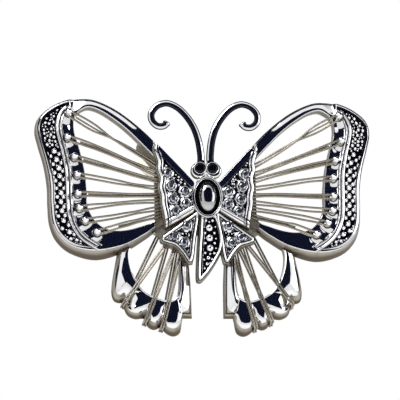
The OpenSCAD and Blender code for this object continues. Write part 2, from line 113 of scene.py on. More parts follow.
def look():
    """A long lens, a little to the ornament's left and below it, with a hand-held view's slight roll."""
    azimuth, elevation, roll = np.radians([-8, -15, -1.43])
    distance, field, sensor_mm = 0.6, 0.0899, 36
    data = bpy.data.cameras.new("camera")
    data.sensor_width = sensor_mm
    data.lens = sensor_mm * distance / field
    data.clip_end = 10
    camera = placed("camera", data)
    turn = Matrix.Rotation(azimuth, 4, "Z") @ Matrix.Rotation(math.pi / 2 - elevation, 4, "X")
    shift = Matrix.Translation((-0.67 * MM, 0.72 * MM, distance))
    camera.matrix_world = turn @ Matrix.Rotation(roll, 4, "Z") @ shift
    bpy.context.scene.camera = camera


look()


# ---- shader expressions

class Socket:
    """A node's output that takes part in sums: a + b, 1 - a and so on each add a Math node."""

    def __init__(self, shop, output):
        self.shop = shop
        self.output = output

    def math(self, operation, other, reflected=False):
        pair = (other, self) if reflected else (self, other)
        return self.shop.node("Math", dict(enumerate(pair)), operation=operation)

    def __add__(self, other):
        return self.math("ADD", other)

    def __sub__(self, other):
        return self.math("SUBTRACT", other)

    def __rsub__(self, other):
        return self.math("SUBTRACT", other, True)

    def __mul__(self, other):
        return self.math("MULTIPLY", other)

    def __truediv__(self, other):
        return self.math("DIVIDE", other)

    __radd__ = __add__
    __rmul__ = __mul__


class Shop:
    """Makes the nodes of one node tree."""

    def __init__(self, tree):
        self.tree = tree
        tree.nodes.clear()

    def node(self, kind, values=None, output=0, **settings):
        """One shader node: its settings are set first, and then its sockets' values or links."""
        made = self.tree.nodes.new("ShaderNode" + kind)
        for key, value in settings.items():
            setattr(made, key, value)
        for key, value in (values or {}).items():
            if isinstance(value, Socket):
                self.tree.links.new(value.output, made.inputs[key])
            else:
                made.inputs[key].default_value = value
        return Socket(self, made.outputs[output]) if made.outputs else None

    def step(self, low, high, value):
        """0 below low and 1 above high, smooth between them."""
        ends = {"Value": value, "From Min": low, "From Max": high}
        return self.node("MapRange", ends, interpolation_type="SMOOTHSTEP")

    def mix(self, share, first, second):
        """Colour from first to second."""
        return self.node("Mix", {0: share, 6: first, 7: second}, 2, data_type="RGBA")

    def mark(self, name):
        """A number that the mesh carries at its points."""
        return self.node("Attribute", output=2, attribute_name=name)

    def place(self):
        """Object coordinates."""
        return self.node("TexCoord", output=3)

    def noise(self, size_mm, detail=2.0, vector=None):
        """Smooth random values with features of about that size."""
        vector = vector or self.place()
        return self.node("TexNoise", {"Vector": vector, "Scale": 1 / (size_mm * MM), "Detail": detail})

    def stretched(self, turn):
        """Object coordinates turned about Y and then drawn out, for marks that run one way."""
        values = {"Vector": self.place(), "Rotation": (0, turn, 0), "Scale": (12.0, 1.0, 1.0)}
        return self.node("Mapping", values, vector_type="TEXTURE")

    def bump(self, height, depth_mm):
        """The normal of a height that is a share of the depth."""
        return self.node("Bump", {"Height": height, "Distance": depth_mm * MM, "Strength": 1.0})


def shaded(name, **sockets):
    """A material with one Principled shader that has the given values. Returns it, its shop and shader."""
    material = bpy.data.materials.new(name)
    material.use_nodes = True
    shop = Shop(material.node_tree)
    surface = shop.node("BsdfPrincipled")
    shop.node("OutputMaterial", {"Surface": surface})
    shader = surface.output.node
    for key, value in sockets.items():
        shader.inputs[key.replace("_", " ")].default_value = value
    return material, shop, shader


def feed(shop, shader, **sockets):
    """Links what changes over the surface to the shader."""
    for key, value in sockets.items():
        shop.tree.links.new(value.output, shader.inputs[key.replace("_", " ")])


# Colours: white, walls as cast, darker and lighter at random, brown towards the walls' foot, the dark
# mark's colour, for blackened hollows and painted shade, and painted shade on the wires' sides.
WHITE = (1.0, 1.0, 1.0, 1)
WALL_SHADE = (0.27, 0.235, 0.175, 1)
WALL_LIGHT = (0.38, 0.35, 0.295, 1)
WALL_BROWN = (0.085, 0.062, 0.04, 1)
BLACKENING_AND_SHADE = (0.012, 0.012, 0.022, 1)
WIRE_SIDE_SHADE = (0.05, 0.042, 0.032, 1)
# The cast mark of a wall that is wholly brown; one with no brown has 1.
BROWNED = 1.4


def worn(shop, share, tint, wear):
    """A metal's colour, a little darker where it is worn."""
    return shop.mix(share, (*tint, 1), (*[c * wear for c in tint], 1))


def plated(name, bright, gloss):
    """Bright plating. The mesh marks cast, for bare walls that turn brown towards their foot, and dark, for
    blackened hollows and for painted shade in grooves, round pegs and stones, at edges and on the sides of
    rods.
    """
    material, shop, shader = shaded(name, Metallic=1.0)
    raw, dark = shop.mark("cast"), shop.mark("dark")
    cast, brown = shop.step(0.0, 1.0, raw), shop.step(1.0, BROWNED, raw)
    cloud = shop.noise(2.4)
    grit = shop.noise(0.16, 3.0)
    plate = worn(shop, shop.step(0.4, 0.75, cloud), bright, 0.93)
    walls = shop.mix(shop.step(0.35, 0.65, cloud + 0.2 * grit), WALL_SHADE, WALL_LIGHT)
    walls = shop.mix(brown, walls, WALL_BROWN)
    # The dark mark's colour: blackening in hollows, and painted shade in grooves, round pegs and stones, at
    # edges and on rod sides.
    colour = shop.mix(dark, shop.mix(cast, plate, walls), BLACKENING_AND_SHADE)
    rough = gloss + 0.02 * cloud + cast * (0.22 + 0.2 * grit) + dark * 0.25
    relief = shop.noise(1.6, 1.0) * 0.010 + grit * (0.00008 + 0.012 * cast + 0.02 * dark)
    normal = shop.bump(relief, 1.0)
    feed(shop, shader, Base_Color=colour, Roughness=rough, Metallic=1 - 0.55 * cast, Normal=normal)
    return material


def drawn(name, tint, along, grain_mm, rough, depth_mm, metal, streak):
    """Metal with fine marks that run one way: wire, rolled sheet. The mesh marks dark, for painted shade on
    the sides.
    """
    material, shop, shader = shaded(name, Metallic=metal)
    lines = shop.noise(grain_mm, 2.0, shop.stretched(along))
    cloud = shop.noise(3.0)
    # Painted shade where the mesh marks the sides dark.
    colour = shop.mix(shop.mark("dark"), worn(shop, shop.step(0.35, 0.7, cloud), tint, 0.86), WIRE_SIDE_SHADE)
    rough = rough + streak * lines + 0.08 * cloud
    feed(shop, shader, Base_Color=colour, Roughness=rough, Normal=shop.bump(lines, depth_mm))
    return material


def cut_glass():
    """Foil-backed glass: the foil's brightness varies from facet to facet under a hard clear surface."""
    clear = dict(Coat_Weight=1.0, Coat_Roughness=0.02, IOR=1.55)
    material, shop, shader = shaded("crystal", Metallic=0.9, Roughness=0.03, **clear)
    foil = shop.step(0.3, 0.7, shop.noise(0.55, 2.0))
    feed(shop, shader, Base_Color=shop.mix(foil, (0.05, 0.06, 0.09, 1), (0.55, 0.58, 0.65, 1)))
    return material


def black_stone():
    """Polished black stone with a faint haze."""
    material, shop, shader = shaded("jet", Metallic=0.0, IOR=1.35)
    haze = shop.noise(0.5, 3.0)
    colour = shop.mix(haze, (0.0008, 0.0008, 0.002, 1), (0.003, 0.003, 0.006, 1))
    feed(shop, shader, Base_Color=colour, Roughness=0.05 + 0.08 * haze)
    return material


# Angle of the clip's sheet across the ornament, along which its marks run.
CLIP_TURN = math.radians(46)
SILVER = plated("polished_silver", (0.86, 0.86, 0.87), 0.03)
WIRE = drawn("wire_silver", (0.44, 0.4, 0.33), 0.0, 0.5, 0.16, 0.0012, 1.0, 0.03)
SHEET = drawn("clip_steel", (0.62, 0.58, 0.48), CLIP_TURN, 0.25, 0.3, 0.006, 0.6, 0.12)
FROSTED = plated("base_metal", (0.6, 0.57, 0.5), 0.25)
DOME = plated("dome_silver", (0.5, 0.5, 0.5), 0.05)
GLASS = cut_glass()
JET = black_stone()


# ---- curves

def curve(points, steps, corners=(), closed=False):
    """Catmull-Rom curve: (2b + (c-a)t + (2a-5b+4c-d)t^2 + (3b-a-3c+d)t^3) / 2 on each stretch from b to c, a
    and d being the points before and after it. A corner, and an open end, repeats its own point."""
    p = np.asarray(points, float)
    n = len(p)
    sharp = np.isin(np.arange(n), [*corners] if closed else [*corners, 0, n - 1])
    i = np.arange(n if closed else n - 1)
    j = (i + 1) % n
    before, past = np.where(sharp[i], i, i - 1), np.where(sharp[j], j, (j + 1) % n)
    a, b, c, d = [p[k][:, None] for k in (before, i, j, past)]
    t = (np.arange(steps) / steps)[:, None]
    line = (2 * b + (c - a) * t + (2 * a - 5 * b + 4 * c - d) * t ** 2 + (3 * b - a - 3 * c + d) * t ** 3) / 2
    line = line.reshape(-1, p.shape[1])
    return line if closed else np.vstack([line, p[-1:]])


def around(columns):
    """Angles of evenly spaced columns."""
    return np.arange(columns) * 2 * math.pi / columns


def arc(middle, height, wide, tall, end, count):
    """Points of a profile on an arc from 0 to end degrees: (middle + wide cos a, height + tall sin a)."""
    a = np.radians(np.linspace(0, end, count))
    return list(zip(middle + wide * np.cos(a), height + tall * np.sin(a)))


def even(line, pitch):
    """The same line with points about one pitch apart."""
    run = np.concatenate([[0], np.cumsum(np.linalg.norm(np.diff(line, axis=0), axis=1))])
    at = np.linspace(0, run[-1], max(2, round(run[-1] / pitch) + 1))
    return np.stack([np.interp(at, run, line[:, k]) for k in range(line.shape[1])], 1)


def distance(x, y, line, closed=False):
    """Distance from each point to the nearest place on a line of straight stretches."""
    a = np.asarray(line, np.float32)
    b = np.roll(a, -1, 0) if closed else a[1:]
    a = a if closed else a[:-1]
    d = b - a
    square = np.maximum((d ** 2).sum(1), 1e-9)
    px, py = [q.astype(np.float32)[..., None] - a[:, k] for k, q in enumerate((x, y))]
    t = np.clip((px * d[:, 0] + py * d[:, 1]) / square, 0, 1)
    return np.sqrt(((px - t * d[:, 0]) ** 2 + (py - t * d[:, 1]) ** 2).min(-1)).astype(float)


def nearest(x, y, places):
    """Distance to the nearest of a few places."""
    return np.min([np.hypot(x - p[0], y - p[1]) for p in places], axis=0)


def smooth(low, high, x):
    """0 at low and 1 at high, with no corner: t^2 (3 - 2t)."""
    t = np.clip((x - low) / (high - low), 0, 1)
    return t * t * (3 - 2 * t)


def bead(d, at, half, rise=1.0):
    """Half-round bead along a line at distance at: rise sqrt(1 - ((d - at) / half)^2)."""
    return rise * np.sqrt(np.clip(1 - ((d - at) / half) ** 2, 0, 1))


def wedge(d, at, half, rise):
    """Roof-shaped bead along a line at distance at: rise (1 - |d - at| / half)."""
    return rise * np.clip(1 - np.abs(d - at) / half, 0, 1)


def shoulder(d, radius, drop):
    """How far the edge is rounded off within radius of it."""
    return drop * (1 - np.sqrt(1 - np.clip(1 - d / radius, 0, 1) ** 2))


# ---- meshes

def solid(name, stacks, side=RIGHT, flat=False, crease=40):
    """Mesh object from stacks of grids. A stack is (points, wrapped, looped, marks): points has the shape
    (copies, rows, columns, 3) in plan millimetres, wrapped joins the last column to the first, looped the
    last row to the first, and marks are numbers for each point. Poles and seams are merged, and faces point
    outwards."""
    places, faces, marks, offset = [], [], {"cast": [], "dark": []}, 0
    for points, wrapped, looped, given in stacks:
        copies, rows, columns = points.shape[:3]
        i = np.arange(rows if looped else rows - 1)[:, None]
        j = np.arange(columns if wrapped else columns - 1)
        down, over = (i + 1) % rows * columns, (j + 1) % columns
        quad = np.stack([i * columns + j, i * columns + over, down + over, down + j], -1)
        first = offset + np.arange(copies)[:, None, None, None] * rows * columns
        faces.append((quad + first).reshape(-1, 4))
        places.append(points.reshape(-1, 3))
        offset += copies * rows * columns
        for key, values in marks.items():
            values.append(np.broadcast_to(np.asarray(given.get(key, 0), float), points.shape[:3]).ravel())
    x, y, h = np.concatenate(places).T
    mesh = bpy.data.meshes.new(name)
    mesh.from_pydata(np.column_stack([x * side, -h, y]) * MM, [], np.concatenate(faces))
    for key, values in marks.items():
        mesh.attributes.new(key, "FLOAT", "POINT").data.foreach_set("value", np.concatenate(values))
    shape = bmesh.new()
    shape.from_mesh(mesh)
    bmesh.ops.remove_doubles(shape, verts=shape.verts, dist=1e-7)
    bmesh.ops.recalc_face_normals(shape, faces=shape.faces)
    shape.to_mesh(mesh)
    shape.free()
    mesh.polygons.foreach_set("use_smooth", np.full(len(mesh.polygons), not flat))
    if not flat:
        mesh.set_sharp_from_angle(angle=math.radians(crease))
    return placed(name, mesh)


def fit(made, material, nodes=(), body=ROOT_BODY):
    """Gives a piece its material and body, and hides the CAD nodes that it stands for."""
    made.data.materials.append(material)
    if body:
        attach(made, body)
    if nodes:
        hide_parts(*nodes)


def sided(side, name, stacks, material, slot, *nodes, **finish):
    """A piece of the left or right half, with the CAD nodes of that half that it stands for."""
    made = solid(f"{NAME[side]}_{name}", stacks, side, **finish)
    fit(made, material, [f"{NAME[side]}_{node}" for node in nodes])


def casting(outer, foot, inner, low, relief, rows, holed):
    """A casting as one closed grid. Rows run from the inner line over the back to the foot line, up the
    drafted side wall to the outer line, over the front and, if it is holed, down the opening's wall. The side
    wall bulges a little: place = foot + (outer - foot) t, height = low + (edge - low) (t + 0.12 sin pi t). It
    is brown at its foot. relief(x, y) gives the front's height and its dark mark."""
    columns = len(outer)
    inner = np.broadcast_to(inner, (columns, 2))
    share = (np.arange(rows) / (rows - 1))[:, None]
    x, y = [outer[:, k] + (inner[:, k] - outer[:, k]) * share for k in (0, 1)]
    h, dark = relief(x, y)
    t = np.array([0.05, 0.15, 0.3, 0.5, 0.7, 0.9])[:, None]
    wall_h = low + (h[0] - low) * (t + 0.12 * np.sin(math.pi * t))
    brown = BROWNED - 0.25 * smooth(0.35, 0.6, t) - 0.2 * smooth(0.6, 0.9, t)
    # Each part: its places, heights, cast marks and dark marks.
    parts = [(np.stack([inner, (inner + foot) / 2, foot]), np.full((3, columns), low), 1.0, 0.0),
             (foot + (outer - foot) * t[..., None], wall_h, brown, 0.0),
             (np.stack([x, y], -1), h, smooth(ROOT_TOP + 0.1, ROOT_TOP + 0.02, h), dark)]
    if holed:
        drop = np.array([0.985, 0.8, 0.35])[:, None]
        edge = np.broadcast_to(inner, (3, columns, 2))
        parts.append((edge, low + (h[-1] - low) * drop, np.array([[0.8], [1.3], [1.3]]), 0.0))
    points = np.concatenate([np.dstack(part[:2]) for part in parts])[None]
    marks = {key: np.concatenate([np.broadcast_to(part[k], part[1].shape) for part in parts])[None]
             for key, k in (("cast", 2), ("dark", 3))}
    return points, True, holed, marks


def turned(places, profile, columns=24, twist=0.0, looped=False, dark=0.0):
    """Turned shapes at places: a profile of (radius, height), or of (half width, half length, height) for an
    oval, is carried round each place: (x + r cos a, y + r sin a, height). twist turns the profile's rows, and
    looped closes it."""
    x, y = np.array(places, float).T[..., None, None]
    *radii, height = np.moveaxis(np.array(profile, float), -1, 0)[..., None]
    angle = around(columns) + twist
    x, y = x + radii[0] * np.cos(angle), y + radii[-1] * np.sin(angle)
    return np.stack([x, y, np.broadcast_to(height, x.shape)], -1), True, looped, {"dark": dark}


def domes(grains, base, rise, columns, round_top=False):
    """A grain at each (x, y, radius), as rings of a share of its radius. A pressed grain has a steep side and
    a low conical top; a round one has rings of r cos a at height base + r sin a, a going from -25 degrees to
    the top."""
    a = np.radians([-25, 5, 35, 62, 90])
    pressed = np.array([[1, 1, 0.74, 0.12, 0], [-0.3, 0.1, 0.6, 0.88, 0.92]])
    share, lift = (np.cos(a), np.sin(a)) if round_top else pressed
    radius = grains[:, 2:]
    rings = np.stack([radius * share, base + radius * rise * lift], -1)
    return turned(grains[:, :2], np.concatenate([rings[:, :1] * (0, 1), rings], 1), columns)


def tube(path, radius, across, columns=12, flat=1.0, black=0.0, lean=0.0):
    """A tube along a path in plan millimetres: p + r (n cos a + m (flat sin a - lean cos a)), n and m being
    square to the path. across is a direction that the path never takes. Its ends close in a point. black is
    how much painted shade its sides get, and lean makes the one on n wider than the other."""
    radius = np.broadcast_to(radius, len(path))[:, None, None]
    along = np.gradient(path, axis=0)
    along /= np.linalg.norm(along, axis=1, keepdims=True)
    n = np.cross(along, across)
    n /= np.linalg.norm(n, axis=1, keepdims=True)
    m = np.cross(along, n)
    cos, sin = np.cos(around(columns))[:, None], np.sin(around(columns))[:, None]
    rings = path[:, None] + radius * (n[:, None] * cos + m[:, None] * (flat * sin - lean * cos))
    forward = np.abs(n[:, None, 2:] * cos + m[:, None, 2:] * sin)[..., 0]
    # Painted shade on the sides, which turn away from the front.
    dark = black * smooth(0.85, 0.72, forward[[0, *range(len(path)), -1]] - lean * cos[:, 0])
    ends = [np.broadcast_to(path[k], (1, columns, 3)) for k in (0, -1)]
    return np.concatenate([ends[0], rings, ends[1]])[None], True, False, {"dark": dark[None]}


# ---- forewings

# Stations round a forewing, clockwise from the body: front outline, back outline and edge of the opening.
FOREWING = np.array([
    [3.4, 3.6, 3.3, 3.7, 11.4, 7.4], [8, 8.5, 7.9, 8.7, 11.45, 8.9], [13.2, 14.5, 13.1, 14.8, 13.4, 11.2],
    [18.9, 19.3, 18.8, 19.6, 18, 15.8], [24, 21.9, 23.9, 22.2, 22.6, 19.2],
    [27.6, 22.4, 27.6, 22.66, 25.7, 20.45], [30.9, 22, 31.2, 22.3, 27.6, 19.9],
    [34.3, 20.4, 34.8, 20.7, 29, 18.5], [36.8, 18.1, 37.3, 18.3, 29.45, 16.6],
    [37.55, 15.3, 38.05, 15.3, 29.2, 14], [36.9, 12, 37.4, 12, 28.3, 11], [35.6, 7.2, 36.1, 7.2, 27.3, 6.6],
    [34.8, 2.4, 35.4, 2.4, 26.7, 1.8], [34.7, -2, 35.3, -2, 26.6, -2.2], [34.2, -6.4, 34.9, -6.4, 25.6, -4.8],
    [32.4, -9.7, 33.3, -10.1, 24.2, -6.5], [29.2, -11.8, 30, -12.8, 22.4, -7.6],
    [24.2, -12.4, 24.5, -14.1, 20, -8], [18.4, -11.1, 18.4, -12.3, 17.2, -7.65],
    [13.8, -8.6, 13.8, -9.5, 14.2, -6.75], [11.3, -6.9, 11.2, -7.6, 11.9, -5.8],
    [6, -4.4, 6, -4.6, 11.45, -4], [1.3, -4.1, 1.2, -4.2, 11.4, -1], [1.3, 1.5, 1.2, 1.6, 11.4, 3.5]])
# Ridge between the band of grains and the band of pegs, run out to the rim at both ends.
BAND_LINE = [
    [29.5, 22.3], [30.9, 20.8], [32.7, 18.3], [33.2, 15.3], [32.1, 10.4], [31.2, 5.6], [31, 0], [30.7, -4.5],
    [29.4, -8], [27.4, -10.3], [24.4, -12.2]]
PEGS = np.array([
    [30.6, 18.9], [30.9, 13.1], [29.4, 8.6], [28.8, 4.5], [28.7, 0.2], [28.4, -3.1], [27.2, -6],
    [24.6, -8.6]])
# Width of the rim, half width of the ridge and depth of the band between them.
RIM = 0.85
RIDGE = 0.36
SUNK = 0.55
OUTLINE, FOOT, OPENING = [curve(FOREWING[:, k:k + 2], 28, closed=True) for k in (0, 2, 4)]
RIDGE_LINE = curve(BAND_LINE, 8)


def past_ridge(x, y):
    """Distance from the ridge line, positive on the rim's side of it."""
    sign = np.where(x > np.interp(-y, -RIDGE_LINE[:, 1], RIDGE_LINE[:, 0]), 1.0, -1.0)
    return sign * distance(x, y, RIDGE_LINE)


def terraces(x, y):
    """How far the band of pegs falls: steeply below each peg, and slowly back up to the next one."""
    fall = np.zeros_like(x)
    for peg, following in zip(PEGS, np.vstack([PEGS[1:], 2 * PEGS[-1] - PEGS[-2]])):
        gap = np.linalg.norm(following - peg)
        way = (following - peg) / gap
        along = ((x - peg[0]) * way[0] + (y - peg[1]) * way[1]) / gap
        outward = (y - peg[1]) * way[0] - (x - peg[0]) * way[1]
        here = np.interp(along + 0.04 * outward ** 2, [0.1, 0.45, 1.0], [0, 0.1 * gap, 0])
        here *= smooth(-2.3, 0.6, outward) * smooth(2.6, 1.8, np.abs(outward))
        fall = np.maximum(fall, here)
    return fall


def forewing_relief(x, y):
    """Front of a forewing: a leading rail that falls outwards, a bevelled rim, the sunk dark band, a ridge
    with a groove and a thin second ridge, a terraced band with a ring of painted shadow round each peg, and a
    flat strip below."""
    rim, opening, ridge = distance(x, y, OUTLINE, True), distance(x, y, OPENING, True), past_ridge(x, y)
    # Where each part of the front is: 1 on it and 0 off it.
    rail = smooth(28.2, 24.6, x) * smooth(-1, 3, y)
    pegs = 1 - rail - smooth(24.5, 21.5, x) * smooth(1, -3, y)
    sunk = smooth(0, 0.16, np.minimum(rim - RIM, ridge - RIDGE))
    on_line = smooth(23.8, 25.2, x) * smooth(20.9, 20.0, y)
    lead = np.maximum(rail, smooth(30.4, 29.2, x) * smooth(19.0, 20.2, y)) * smooth(9, 17, x)
    upper = smooth(4, 9, y) * smooth(20, 26, x) * (1 - lead)
    inside = smooth(HUB_X - 0.35, HUB_X, x)

    h = FOREWING_TOP - shoulder(rim, 0.12, 0.1) - shoulder(opening, 0.2, 0.16) - SUNK * sunk
    h -= 0.34 * smooth(14, 5, y) * smooth(-14, -10, y) * pegs * np.clip(0.62 - np.maximum(rim, 0.14), 0, None)
    h += on_line * (wedge(ridge, 0, 0.28, 0.14) - bead(ridge, -0.5, 0.18, 0.15))
    h += on_line * wedge(ridge, -0.84, 0.14, 0.065) + upper * wedge(rim, 0.36, 0.14, 0.065)
    soft = 0.45 + 0.28 * smooth(28.8, 25.5, x)
    h -= lead * 0.4 * (opening - soft * (1 - np.exp(-opening / soft)) + np.clip(rim - 0.5, None, 0))
    h -= smooth(-0.95, -1.3, ridge) * pegs * terraces(x, y)

    # Dark mark: blackening in the sunk band, and painted shade in the groove beside the ridge and along the
    # ridges' edges.
    dark = sunk + on_line * (bead(ridge, -0.48, 0.2) + bead(ridge, -1.08, 0.1, 0.9) + bead(ridge, 0.34, 0.1))
    # Painted dark reflection in the upper part: a line along the outer edge and a band inside the rim.
    dark += smooth(2, 7, y) * bead(rim, 0.09, 0.15)
    dark += upper * smooth(0.5, 0.58, rim) * smooth(0.1, 0.3, ridge) * smooth(0, 6, y)
    # A ring of painted shadow round each peg.
    dark += bead(nearest(x, y, PEGS), 0.92, 0.2)
    return ROOT_TOP + (h - ROOT_TOP) * inside, np.clip(dark * inside, 0, 1)


def forewing(side):
    """The forewing's casting."""
    made = casting(OUTLINE, FOOT, OPENING, WING_BACK, forewing_relief, 120, True)
    sided(side, "forewing_casting", [made], SILVER, "polished_silver", "forewing")


def within(x, y, outline):
    """Whether points lie inside a closed outline, by how often a line to the right crosses it."""
    ahead = np.roll(outline, -1, 0)
    run, rise = (ahead - outline).T
    crossing = (outline[:, 1] > y[:, None]) != (ahead[:, 1] > y[:, None])
    slope = run / np.where(rise == 0, 1e-9, rise)
    return (crossing & (x[:, None] < slope * (y[:, None] - outline[:, 1]) + outline[:, 0])).sum(1) % 2 == 1


def apart(tries, radii, count, gap):
    """The first tried grains that keep clear of each other, up to count of them: rows of x, y, radius."""
    kept = []
    for k in range(len(tries)):
        room = np.hypot(*(tries[k] - tries[kept]).T) - radii[k] - radii[kept]
        if len(kept) < count and (room > gap).all():
            kept.append(k)
    return np.column_stack([tries, radii])[kept]


# Tries for the strewn grains, of which the first ones are large, and how many are kept.
TRIES, LARGE_TRIES, STREWN = 2600, 420, 60
# One turn of the rows: place along the ridge, shares of the way from the ridge to the rim, and radius.
ROWS = [(0, (0.42,), 0.66), (1.02, (0.13, 0.8), 0.5), (0.1, (0.98,), 0.34), (0.5, (0, 0.95), 0.22),
        (1.5, (0.5,), 0.2)]
FIRST_ROW, LAST_ROW, ROW_PITCH = 12.9, 33.9, 2.04
# Spacing of the points on the line that the rows follow.
FINE = 0.05


def band_grains(side):
    """Grains in the sunk band: strewn ones at the top, then rows across it of one large one and two smaller
    ones in turn, with specks between them. All are a little uneven."""
    random = np.random.default_rng(5 + side)
    tries = random.uniform((29.8, 11.2), (37.4, 22.3), (TRIES, 2))
    large = np.arange(TRIES) < LARGE_TRIES
    radii = np.where(large, random.uniform(0.38, 0.5, TRIES), random.uniform(0.17, 0.3, TRIES))
    good = within(*tries.T, OUTLINE) & (distance(*tries.T, OUTLINE, True) > RIM + 0.7 * radii)
    good &= past_ridge(*tries.T) > RIDGE + 0.7 * radii
    strewn = apart(tries[good], radii[good], STREWN, 0.02)
    turns = np.arange(FIRST_ROW, LAST_ROW, ROW_PITCH)
    at, share, r = np.array([(s + shift, k, r) for s in turns for shift, shares, r in ROWS for k in shares]).T
    at += random.uniform(-0.09, 0.09, len(at))
    line = even(curve(BAND_LINE, 16), FINE)
    foot = line[np.clip((at / FINE).astype(int), 0, len(line) - 1)]
    near = OUTLINE[np.argmin(((foot[:, None] - OUTLINE[None]) ** 2).sum(-1), 1)]
    reach = np.linalg.norm(near - foot, axis=1)
    room = reach - RIM - RIDGE
    share += random.uniform(-0.04, 0.04, len(at))
    place = foot + (near - foot) / reach[:, None] * (RIDGE + 0.05 + (room - 0.1) * share)[:, None]
    r = np.minimum(r * random.uniform(0.9, 1.1, len(at)), room * 0.3)
    grains = np.vstack([np.column_stack([place, r])[room > 1.0], strewn])
    sided(side, "band_grains", [domes(grains, FOREWING_TOP - SUNK, 1.0, 12)], SILVER, "polished_silver")


def wire_pegs(side):
    """Pegs turned with a waisted shank and a blunt knob: the profile is carried round each peg's axis."""
    low, top = FOREWING_TOP, PEG_TOP
    shank = [(0, low - 0.6), (0.62, low - 0.6), (0.5, low), (0.3, low + 0.1), (0.25, low + 0.35)]
    knob = [(0.45, 1.15), (0.66, 0.95), (0.74, 0.7), (0.72, 0.46), (0.62, 0.27), (0.57, 0.22), (0.07, 0.03),
            (0, 0)]
    profile = shank + [(r, top - depth) for r, depth in knob]
    sided(side, "ball_pegs", [turned(PEGS, profile)], SILVER, "polished_silver", "wire_pegs", crease=30)


# Share of each wire's way at which it passes over the opening's edge, and the fan's line at the body.
PEG_EDGES = [0.92, 0.87, 0.9, 0.89, 0.88, 0.87, 0.85, 0.68]
FAN_X, FAN_TOP, FAN_BOTTOM = 9.6, 6.9, -4.2
# Radius of a turn round a peg, radius of a strand beside that of the wires, and spare strands at each peg.
WRAP = 0.47
STRAND = 1.15
SPARES = (1, 2, 2, 0, 1, 0, 0, 1)


def forewing_wires(side):
    """Each wire comes from the body, goes once round its peg's shank and returns: two strands with a slight
    bow. Some have spare strands below them."""
    random = np.random.default_rng(11 + side)
    pitch = (FAN_TOP - FAN_BOTTOM) / (len(PEGS) - 0.5)
    over, low = FOREWING_TOP + WIRE_R + 0.18, ROOT_TOP + WIRE_R + 0.03
    stacks = []
    for i, (peg, edge, spares) in enumerate(zip(PEGS, PEG_EDGES, SPARES)):
        end = np.array([FAN_X, FAN_TOP - (i + 0.25) * pitch])
        out = (peg - end) / np.linalg.norm(peg - end)
        across = np.array([-out[1], out[0]])
        at = np.linspace(0, edge, 6)
        spread = np.array([0.38, 0.3, 0.24, 0.3, 0.36, 0.44]) + random.uniform(-0.06, 0.1, 6)
        bow = random.uniform(-0.3, 0.3) * np.sin(math.pi * at)
        bow += random.uniform(-0.12, 0.12) * np.sin(2 * math.pi * at)
        if i == 0:
            # The top wire's strands cross on their way.
            spread = np.array([-0.35, -0.3, -0.24, 0.05, 0.75, 0.7])
        a = np.radians([0, 45, 90, 135, 180])[:, None]
        wrap = peg + WRAP * (across * np.cos(a) + out * np.sin(a))
        legs = []
        for s in (1, -1):
            plan = end + (peg - end) * at[:, None] + across * (bow + s * spread)[:, None]
            legs.append(np.column_stack([plan, low + (over - low) * at / edge + s * 0.03]))
        path = np.vstack([legs[0], np.column_stack([wrap, np.full(5, over)]), legs[1][::-1]])
        # Painted shade on the sides of the strands, here and on the spares.
        stacks.append(tube(curve(path, 6), WIRE_R * STRAND, (0, 0, 1), black=0.25))
        for k in range(spares):
            spare = legs[0] * (0.5 - 0.3 * k) + legs[1] * (0.5 + 0.3 * k) + np.array([0, 0, -0.2])
            spare[:, :2] += across * np.linspace(random.uniform(-0.5, 0.5), 0, 6)[:, None]
            stacks.append(tube(curve(spare, 6), WIRE_R, (0, 0, 1), black=0.25))
    sided(side, "forewing_strands", stacks, WIRE, "wire_silver", "forewing_wires")


# ---- hindwings

# Stations round a hindwing, clockwise: front outline, back outline and edge of the opening.
HINDWING = np.array([
    [18.8, -10.6, 19.4, -10.2, 16.9, -11], [19.6, -13.4, 20.1, -13.4, 17.35, -13.2],
    [20.2, -16, 20.7, -16.6, 17.1, -15.8], [20.8, -18.8, 21.2, -19.6, 16.4, -18.2],
    [21, -21, 21.3, -21.8, 15.7, -19.6], [20.5, -22.4, 20.8, -23.3, 15.2, -20.4],
    [19.5, -22.6, 19.7, -23.8, 14.7, -21], [18.5, -22.2, 18.75, -23.6, 14.2, -21.5],
    [18.2, -24.4, 18.4, -25.6, 13.7, -21.9], [17.4, -25.8, 17.6, -26.8, 13.2, -22.2],
    [16.2, -26.3, 16.2, -27.4, 12.7, -22.5], [14.9, -26.1, 14.9, -27.3, 12.1, -22.75],
    [13.7, -25.7, 14.1, -27.3, 11.6, -22.95], [13.1, -27.7, 13.4, -29.1, 11.1, -23.1],
    [12.1, -28.4, 12.2, -29.8, 10.6, -23.3], [11.1, -28, 11.1, -29.5, 10.1, -23.45],
    [10.4, -27.3, 10.5, -28.9, 9.6, -23.55], [9.7, -28.9, 9.7, -30.3, 9.1, -23.6],
    [8.4, -29.7, 8.4, -31.15, 8.6, -23.6], [7.2, -29.5, 7.2, -31.15, 8.1, -23.5],
    [6.3, -28.3, 6.2, -30.3, 7.6, -23.25], [5.9, -26.8, 5.8, -28.2, 7.1, -22.8],
    [5.5, -26.4, 5.6, -27.2, 6.8, -22.2], [3.9, -26.4, 3.5, -27.2, 6.5, -21], [4, -20, 3.6, -20, 6.35, -19],
    [4.2, -13, 3.9, -13, 6.25, -14], [3.6, -6, 3.2, -5, 6.2, -12.4], [7, -5.2, 7, -4.9, 8.3, -11.2],
    [11, -5.9, 11, -5.6, 9.9, -9.7], [15, -8.3, 15, -8, 12.6, -8]])
HIND_CORNERS = (0, 7, 12, 16, 21, 22, 23, 26)
HIND_STEPS = 14
HIND_OUTLINE, HIND_FOOT, HIND_OPENING = [
    curve(HINDWING[:, k:k + 2], HIND_STEPS, HIND_CORNERS, True) for k in (0, 2, 4)]
# Station numbers of the valleys between the lobes, and where the inner strip starts.
VALLEYS = np.array([0, 7, 12, 16, 21.5])
STRIP = 22
